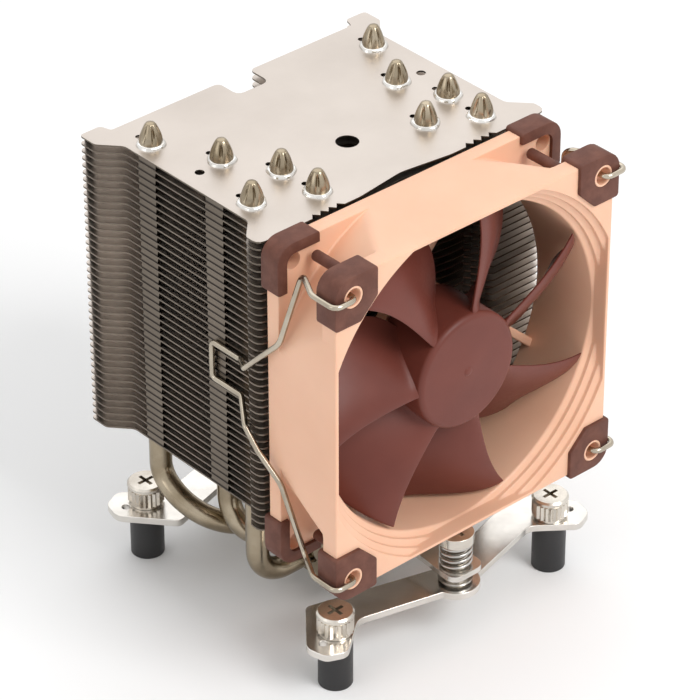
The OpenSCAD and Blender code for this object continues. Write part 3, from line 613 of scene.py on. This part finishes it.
def shifted(parts, x, y, z):
    """(points, faces) moved by x, y and z."""
    points, faces = parts
    return [(px + x, py + y, pz + z) for px, py, pz in points], faces


def cylinder(radius, start, end, steps=40):
    """(points, faces) of a cylinder on the Z axis."""
    return revolve([(0, start), (radius, start), (radius, end), (0, end)], steps)


def motor_base():
    """(points, faces) of the motor's cup with its bearing tube."""
    back = FAN_DEPTH - MOTOR_BASE_INSET
    front = back - MOTOR_BASE_T
    dish_r = MOTOR_BASE_R - 1.6
    return revolve(filleted([
        (0, back, 0), (dish_r, back, 0), (dish_r, back + 0.25, 0.1),
        (MOTOR_BASE_R, back + 0.25, 0.5), (MOTOR_BASE_R, front, 0.4),
        (BEARING_TUBE_R, front, 0.5), (BEARING_TUBE_R, BEARING_TUBE_FRONT, 0.3),
        (BEARING_BORE_R, BEARING_TUBE_FRONT, 0.2), (BEARING_BORE_R, back - 1, 0), (0, back - 1, 0),
    ], 4))


def struts():
    """The four struts that carry the motor, each tangent to a circle around its base."""
    reach = math.sqrt((DUCT_R + 0.4) ** 2 - STRUT_OFFSET**2)
    front = FAN_DEPTH - MOTOR_BASE_INSET - MOTOR_BASE_T + 0.4
    bar = shifted(bar_along(reach, STRUT_W, MOTOR_BASE_T - 0.8, 0.6), 0, -STRUT_OFFSET, front)
    return [turned(bar, 90 * i + STRUT_TURN) for i in range(4)]


def bosses():
    """The collars around the front screw holes, which show through the pads."""
    collar = revolve(filleted([
        (HOLE_D / 2, 0.5, 0), (BOSS_R, 0.5, 0), (BOSS_R, -PAD_T, 0.25), (HOLE_D / 2, -PAD_T, 0.25)
    ], 3), 48)
    return [shifted(collar, sx * HOLE_XY, sy * HOLE_XY, 0) for sy, sx in CORNERS]


def fan_frame():
    """The frame as two pieces: the moulding with its holes, and what stands inside it."""
    rings = []
    for k in range(720):
        a = 2 * math.pi * k / 720
        rings.append([(r * math.cos(a), r * math.sin(a), d) for r, d in frame_section(a)])
    points, faces = loft(rings, closed=True)
    mesh = mesh_of("fan_moulding", on_fan(points), faces)
    moulding = piece("fan_moulding", mesh, "cooler", "frame_plastic", ["fan_frame"])
    cutters = []
    for sy, sx in CORNERS:
        for radius, start, end, x in (
            (HOLE_D / 2, -1, FAN_DEPTH + 1, HOLE_XY),
            (PIN_R + 0.3, FRONT_FLANGE, FAN_DEPTH - BACK_FLANGE, PIN_X),
        ):
            points, faces = shifted(cylinder(radius, start, end), sx * x, sy * HOLE_XY, 0)
            cutters.append((on_fan(points), faces))
    carve(moulding, together(*cutters))
    points, faces = together(motor_base(), *struts(), *bosses())
    mesh = mesh_of("fan_struts", on_fan(points), faces)
    piece("fan_struts_and_motor_base", mesh, "cooler", "frame_plastic")


# ---- The impeller ----
def blade_point(r, s, side, swell):
    """A point of a blade at radius r and share s of the chord, on its front (-1) or back (1)."""
    u = max((r - HUB_R) / (TIP_R - HUB_R), 0.0)
    lead = 2 * u - 10 * u * (1 - u)
    chord = 50 - 21 * u**1.5
    angle = math.radians(BLADE_PHASE + lead - chord * s)
    lead_depth, trail_depth = 4.2 + 0.5 * u, 17.2 + 1.8 * u
    camber = 0.35 * s + 0.65 * (1 - math.cos(math.pi * s)) / 2
    half = 0.22 + (BLADE_T / 2 - 0.22) * max(math.sin(math.pi * s), 0.0) ** 0.6
    depth = lead_depth + (trail_depth - lead_depth) * camber + side * half * swell
    return r * math.cos(angle), -r * math.sin(angle), depth


def blade():
    """(points, faces) of one blade: thicker at its root, and rounded off at its tip."""
    chord_steps = 26
    span = [HUB_R - 0.9, HUB_R - 0.3, HUB_R + 0.15, HUB_R + 0.5, HUB_R + 1.0, HUB_R + 1.8]
    span += list(np.linspace(HUB_R + 3, TIP_R - 1.2, 18)) + [TIP_R - 0.6, TIP_R - 0.25, TIP_R - 0.07, TIP_R]
    swells = []
    for r in span:
        flare = 1 + 1.1 * math.exp(-max(r - HUB_R, 0) / 0.7)
        past = (r - (TIP_R - 0.6)) / 0.6
        swells.append(flare * (math.sqrt(max(1 - past**2, 0.02)) if past > 0 else 1.0))
    rings = []
    for r, swell in zip(span, swells):
        shares = [0.5 - 0.5 * math.cos(math.pi * j / chord_steps) for j in range(chord_steps + 1)]
        front = [blade_point(r, s, -1, swell) for s in shares]
        back = [blade_point(r, s, 1, swell) for s in shares[::-1]]
        rings.append(front + back)
    return loft(rings)


def impeller():
    """The hub's cup with a sunk mark at its middle, and the blades around it."""
    edge, nub = 1.6, 1.3
    inside_r = HUB_R - HUB_WALL
    outline = [(0, -0.42), (nub * 0.45, -0.4), (nub * 0.8, -0.24), (nub, -0.03), (nub + 0.25, 0.0)]
    for a in np.radians(np.arange(0, 91, 10)):
        outline.append((HUB_R - edge * (1 - math.sin(a)), edge * (1 - math.cos(a))))
    outline += [(HUB_R, HUB_L - 0.3), (HUB_R - 0.3, HUB_L), (inside_r + 0.2, HUB_L), (inside_r, HUB_L - 0.2)]
    outline += [(inside_r, HUB_WALL), (4, HUB_WALL), (4, HUB_WALL + 3.4)]
    outline += [(1.5, HUB_WALL + 3.4), (1.5, HUB_WALL), (0, HUB_WALL)]
    hub = revolve([(r, HUB_RECESS + z) for r, z in outline], 144)
    blades = [turned(blade(), 360 / BLADE_COUNT * i) for i in range(BLADE_COUNT)]
    points, faces = together(hub, *blades)
    mesh = mesh_of("fan_rotor_moulding", on_fan(points), faces)
    piece("fan_rotor_moulding", mesh, "fan_rotor", "blade_plastic", ["impeller"])


# ---- The rubber pads ----
def pad_block(flange_t, hole_r, sign_x, sign_y, from_back):
    """(points, faces) of a corner pad's block, and of each thing cut out of it, in fan coordinates."""
    outer = FAN_SIZE / 2 + PAD_WALL
    inner = HOLE_XY - PAD_REACH
    edge = 0.32

    def outline(inset):
        corners = filleted([
            (inner + PAD_CHAMFER, inner, 0.9), (outer, inner, 0.9),
            (outer, outer, FLANGE_CORNER_R + PAD_WALL),
            (inner, outer, 0.9), (inner, inner + PAD_CHAMFER, 0.9),
        ], 6)
        middle = np.array([(inner + outer) / 2 + 0.8] * 2)
        shrink = 1 - inset / ((outer - inner) / 2)
        return [tuple(middle + (np.array(p) - middle) * shrink) for p in corners]

    levels = [(-PAD_T, edge), (-PAD_T + edge * 0.3, edge * 0.3), (-PAD_T + edge, 0.0)]
    far = flange_t + PAD_T
    levels += [(far - edge, 0.0), (far - edge * 0.3, edge * 0.3), (far, edge)]
    block = loft([[(x, y, z) for x, y in outline(inset)] for z, inset in levels])
    half = FAN_SIZE / 2
    seat_outline = filleted([(0, 0, 0), (half, 0, 0), (half, half, FLANGE_CORNER_R), (0, half, 0)], 6)
    cuts = [loft([[(x, y, z) for x, y in seat_outline] for z in (0.0, flange_t)])]
    cuts.append(shifted(cylinder(hole_r, -PAD_T - 1, far + 1), HOLE_XY, HOLE_XY, 0))
    if from_back:
        # inside the frame the pad shows only a lip along its two outer sides
        lip = outer - PAD_LIP
        lip_outline = filleted([(0, 0, 0), (lip, 0, 1.2), (lip, lip, 2.6), (0, lip, 1.2)], 6)
        cuts.append(loft([[(x, y, z) for x, y in lip_outline] for z in (flange_t - 0.2, far + 1)]))
    else:
        cuts.append(cylinder(WALL_FRONT_R + 0.03, flange_t - 0.01, far + 1, 180))

    def placed(parts):
        points, faces = parts
        depths = [FAN_DEPTH - z if from_back else z for x, y, z in points]
        return on_fan([(sign_x * x, sign_y * y, d) for (x, y, z), d in zip(points, depths)]), faces

    return placed(block), [placed(cut) for cut in cuts]


def pads():
    """Four front and four rear pads, numbered by corner, and the pin that pulls each rear one on."""
    pin_end = FAN_DEPTH - BACK_FLANGE - PAD_T - 0.3
    pin_profile = filleted([
        (0, FRONT_FLANGE, 0), (PIN_R + 0.5, FRONT_FLANGE, 0), (PIN_R + 0.5, FRONT_FLANGE + 1.6, 0.3),
        (PIN_R, FRONT_FLANGE + 2.4, 0.4), (PIN_R, pin_end, 0.7), (0, pin_end, 0),
    ], 5)
    kinds = [("front", FRONT_FLANGE, BOSS_R + 0.03, False), ("rear", BACK_FLANGE, HOLE_D / 2, True)]
    for i, (sx, sy) in enumerate(CORNERS, 1):
        for kind, flange, hole_r, back in kinds:
            block, cuts = pad_block(flange, hole_r, sx, sy, back)
            name = f"rubber_{kind}_pad_{i}"
            pad = piece(name, mesh_of("pad", *block), "cooler", "pad_rubber", [f"{kind}_pad_{i}"])
            carve(pad, *cuts)
        points, faces = shifted(revolve(pin_profile, 36), sx * PIN_X, sy * HOLE_XY, 0)
        piece(f"rubber_pull_pin_{i}", mesh_of("pin", on_fan(points), faces), "cooler", "pad_rubber")


# ---- The wire clips ----
def clip(name, sign, body):
    """A bent wire: hooked into two holes of the fan, along its side, and around the fins in a loop."""
    clear = WIRE_GAP + WIRE_R
    hook = -PAD_T - clear
    side_x = FAN_SIZE / 2 + PAD_WALL + clear
    ear_x, waist_x = EAR_X + clear, WAIST_X + clear
    fins = FAN_DEPTH + PAD_T
    loop_y, loop_z = LOOP_H / 2, fins + EAR_L * 1.5
    # each corner as x, y, depth and the radius of its bend
    half = [
        (HOLE_XY, HOLE_XY, 0.8, 0),
        (HOLE_XY, HOLE_XY, hook, 1.9),
        (side_x, HOLE_XY, hook, 1.8),
        (side_x, HOLE_XY, FRONT_FLANGE + PAD_T + WIRE_GAP, 4.5),
        (HOLE_XY + 2.1, HOLE_XY, FRONT_FLANGE + 9.8, 3.0),
        (FAN_SIZE / 2 + clear, HOLE_XY / 2, FAN_DEPTH - BACK_FLANGE - 2 * WIRE_R, 6.0),
        (ear_x, loop_y + 8.2, fins, 3.0),
        (ear_x, loop_y + 3.2, fins + EAR_L * 0.6, 2.0),
        (waist_x, loop_y, loop_z, 1.8),
        (waist_x, loop_y, loop_z + LOOP_L, 1.4),
    ]
    corners = half + [(x, -y, z, bend) for x, y, z, bend in half[::-1]]
    route = bent([c[:3] for c in corners], [c[3] for c in corners])
    points, faces = tube([(sign * x, y, z) for x, y, z in route], WIRE_R, 20)
    piece(f"bent_wire_{name}", mesh_of("clip", on_fan(points), faces), body, "clip_wire", [f"clip_{name}"])


# ---- The heat pipes ----
def pipe_arm(i, top_x):
    """Points along one half of a pipe's middle line, from the base's middle to the nose's foot."""
    bend_r, tilt = PIPE_BEND_RS[i], PIPE_TILTS[i]
    shift = PIPE_TOP_YS[i] - PIPE_ROWS[i]
    upper_r = (shift - bend_r * math.sin(tilt)) / (1 - math.cos(tilt)) if tilt else 0.0
    straight = fin_top_z - PIPE_Z - bend_r * math.cos(tilt) - upper_r * math.sin(tilt)
    leaning = []
    for a in np.linspace(0, math.pi / 2, 22):
        leaning.append((bend_r * math.sin(a), 0.0, bend_r * (1 - math.cos(a))))
    if tilt:
        turns = np.linspace(0, tilt, 20)[1:]
        leaning += [(bend_r, -upper_r + upper_r * math.cos(b), bend_r + upper_r * math.sin(b)) for b in turns]
    c, s = math.cos(tilt), math.sin(tilt)
    route = [(x, y * c + z * s, -y * s + z * c) for x, y, z in leaning]
    end = route[-1]
    route += [(end[0], end[1], end[2] + straight * share) for share in (0.02, 0.5, 1.0)]
    return [(top_x - bend_r + x, PIPE_ROWS[i] + y, PIPE_Z + z) for x, y, z in route]


# height over the top fin, share of the pipe's radius, depth of the flutes
NOSE_LEVELS = [
    (-0.8, 1.0, 0.0), (0.5, 1.0, 0.0), (1.0, 1.0, 0.02), (1.5, 0.99, 0.06), (2.1, 0.955, 0.1),
    (2.7, 0.91, 0.13), (3.4, 0.83, 0.16), (4.0, 0.755, 0.17), (4.6, 0.67, 0.16), (5.1, 0.59, 0.13),
    (5.5, 0.52, 0.08), (5.8, 0.46, 0.04), (6.02, 0.4, 0.01), (6.18, 0.3, 0.0), (NOSE_H, 0.12, 0.0),
]
NOSE_FLUTES = 6


def nose(x, y, z, turn):
    """(points, faces) of a pipe's end, swaged down and crimped into flutes."""
    sides = 72
    rings = []
    for height, share, depth in NOSE_LEVELS:
        ring = []
        for k in range(sides):
            a = 2 * math.pi * k / sides
            groove = max(math.cos(NOSE_FLUTES * (a + turn)), 0.0) ** 1.5
            r = PIPE_R * share * (1 - depth * groove * 1.9)
            ring.append((x + r * math.cos(a), y + r * math.sin(a), z + height))
        rings.append(ring)
    return loft(rings)


def heat_pipes():
    """Each pipe in one piece, from its left nose through the base to its right nose."""
    for i in range(5):
        right = pipe_arm(i, PIPE_RIGHT_XS[i])
        left = [(-x, y, z) for x, y, z in pipe_arm(i, PIPE_LEFT_XS[i])]
        body = tube(left[::-1] + right, PIPE_R, 40, dome=False)
        noses = [nose(*arm[-1], 0.7 * i + turn) for arm, turn in ((left, 0.2), (right, 0.9))]
        mesh = mesh_of("pipe", *together(body, *noses))
        piece(f"drawn_heat_pipe_{i + 1}", mesh, "cooler", "plated_copper", [f"heat_pipe_{i + 1}"])


def solder_rings():
    """Bright solder that has crept up around each pipe where it leaves the top fin."""
    inside = PIPE_R - 0.1
    profile = filleted([
        (inside, 0.0, 0), (PIPE_R + SOLDER_W, 0.0, 0), (PIPE_R + 0.62, 0.5, 0.5),
        (PIPE_R + 0.3, 0.8, 0.4), (inside, 0.86, 0),
    ], 5)
    rings = []
    for xs, side in ((PIPE_LEFT_XS, -1), (PIPE_RIGHT_XS, 1)):
        for i, x in enumerate(xs):
            points, faces = revolve(profile, 64)
            wavy = []
            for px, py, pz in points:
                a = math.atan2(py, px)
                creep = 1 + 0.035 * math.sin(3 * a + i) + 0.025 * math.sin(5 * a + 2 * i + side)
                swell = creep if math.hypot(px, py) > PIPE_R else 1.0
                wavy.append((px * swell, py * swell, min(pz * creep, SOLDER_H)))
            rings.append(shifted((wavy, faces), side * x, PIPE_TOP_YS[i], fin_top_z))
    piece("crept_solder", mesh_of("solder", *together(*rings)), "cooler", "solder", ["solder_rings"])


# ---- The fins' folded tabs ----
def clinched_tabs():
    """The fins' side tabs, folded up and hooked over the fin above: a leaning step a fin in a column."""
    face = WAIST_X - TAB_INSET
    outline = []
    for i in range(FIN_COUNT - 2):
        z = FIN_FLOOR_Z + FIN_T / 2 + i * FIN_PITCH
        outline += [(face - 0.02, z + 0.05), (face + TAB_LEAN, z + 0.3)]
        outline += [(face + TAB_LEAN * 0.8, z + 1.2), (face + 0.04, z + FIN_PITCH - 0.12)]
    outline += [(face - 0.2, z + FIN_PITCH - 0.12), (face - 0.2, FIN_FLOOR_Z + FIN_T / 2)]
    columns = []
    for side in (-1, 1):
        for y in TAB_YS:
            ends = [y - TAB_W / 2, y + TAB_W / 2]
            columns.append(loft([[(side * x, end, z) for x, z in outline] for end in ends]))
    piece("hooked_fin_tabs", mesh_of("tabs", *together(*columns)), "cooler", "fin_sheet")


# ---- Springs ----
def springs():
    """The two springs, each stretched between the bridge and the head of its screw."""
    steps = SPRING_TURNS * 30
    for end, side in (("front", -1), ("rear", 1)):
        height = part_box(f"spring_{end}")[1][2] / MM - bridge_top_z
        rise = height - 2 * SPRING_WIRE_R
        y = side * SPRING_SCREW_Y
        route = []
        for k in range(steps + 1):
            at = k / steps
            a = 2 * math.pi * SPRING_TURNS * at
            # the first and last turns lie flat
            lift = min(max(at * 1.2 - 0.1, 0.0), 1.0)
            z = bridge_top_z + 0.05 + SPRING_WIRE_R + rise * lift
            route.append((SPRING_R * math.cos(a), y + SPRING_R * math.sin(a), z))
        mesh = mesh_of("spring", *tube(route, SPRING_WIRE_R, 12))
        thing = piece(f"coil_spring_{end}", mesh, None, "spring_wire", [f"spring_{end}"])
        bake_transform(thing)


# ---- Small metal pieces, eased at their edges ----
def eased(node, width, name):
    """A copy of a node of the construction, its sharp edges broken as tumbling leaves them."""
    source = frame["nodes"][node]
    shape = bmesh.new()
    shape.from_mesh(source.data)
    bmesh.ops.scale(shape, vec=Vector((1 / MM,) * 3), verts=shape.verts)
    bmesh.ops.remove_doubles(shape, verts=shape.verts, dist=1e-3)
    bmesh.ops.dissolve_limit(shape, angle_limit=math.radians(0.5), verts=shape.verts, edges=shape.edges)
    mesh = bpy.data.meshes.new(name)
    shape.to_mesh(mesh)
    shape.free()
    thing = piece(name, mesh, body_of_node[node], slot_of[node], [node])
    bevel = thing.modifiers.new("eased", "BEVEL")
    bevel.width, bevel.segments = width * MM, 2
    bevel.limit_method, bevel.angle_limit = "ANGLE", math.radians(35)
    bevel.use_clamp_overlap = True
    bevel.harden_normals = True
    return thing


def small_metal():
    """The plates, bars, screws and spacers, each with the edge that its making leaves."""
    for node, width in (
        ("bridge", 0.2), ("bar_front", 0.25), ("bar_rear", 0.25), ("base_cover", 0.25), ("base_plate", 0.25),
        ("bridge_screws", 0.15), ("spring_screw_front", 0.2), ("spring_screw_rear", 0.2), ("spacers", 0.2),
    ):
        eased(node, width, f"finished_{node}")


# ---- Making it all ----
dress_cad_nodes()
fan_frame()
impeller()
pads()
clip("left", -1, "clip_left")
clip("right", 1, "clip_right")
heat_pipes()
solder_rings()
clinched_tabs()
springs()
small_metal()


# ---- The studio ----
SKY_LEVEL = 0.6
MIRRORED_LEVEL = 1.1


def studio():
    """A white floor, a soft sky, three broad lamps and the camera."""
    floor_finish = Finish("pale_floor", Roughness=0.9)
    plain = floor_finish.noise(3.0, 1.0)
    floor_finish.feed(Base_Color=floor_finish.mix(plain, paint(247, 247, 247), paint(250, 250, 250)))
    bpy.ops.mesh.primitive_plane_add(size=6.0, location=(0, 0, 0))
    floor = bpy.context.object
    floor.name = "studio_floor"
    floor.data.materials.append(floor_finish.material)

    world = bpy.data.worlds.new("studio")
    bpy.context.scene.world = world
    world.use_nodes = True
    # the camera sees white, polished metal sees a bright room, and the rest is lit by a softer sky
    sky = Nodes(world.node_tree)
    level = SKY_LEVEL
    for ray, seen in (("Is Camera Ray", 1.0), ("Is Glossy Ray", MIRRORED_LEVEL)):
        level = sky.node("ShaderNodeLightPath", {}, {}, ray) * (seen - SKY_LEVEL) + level
    background = world.node_tree.nodes["Background"]
    sky.tree.links.new(level.socket, background.inputs["Strength"])
    background.inputs["Color"].default_value = (1, 1, 1, 1)

    middle = Vector((0.0, 0.0, 0.066))
    # name, place, size and power
    lamps = [
        ("key", (0.15, -0.95, 0.95), 0.6, 9.2),
        ("top", (0.2, 0.4, 1.15), 1.5, 5.6),
        ("left", (-1.0, 0.1, 0.5), 0.6, 1.2),
    ]
    for name, place, size, power in lamps:
        lamp = bpy.data.lights.new(name, "AREA")
        lamp.size, lamp.energy = size, power
        thing = bpy.data.objects.new(name, lamp)
        thing.location = place
        thing.rotation_euler = (middle - Vector(place)).to_track_quat("-Z", "Y").to_euler()
        bpy.context.scene.collection.objects.link(thing)

    camera = bpy.data.cameras.new("camera")
    camera.lens, camera.sensor_width = 206.0, 36.0
    eye = bpy.data.objects.new("camera", camera)
    eye.location = (-0.5672, -0.6365, 0.6334)
    eye.rotation_euler = (Vector((0.0, -0.001, 0.066)) - eye.location).to_track_quat("-Z", "Y").to_euler()
    bpy.context.scene.collection.objects.link(eye)
    bpy.context.scene.camera = eye
    bpy.context.scene.view_settings.view_transform = "Standard"


studio()
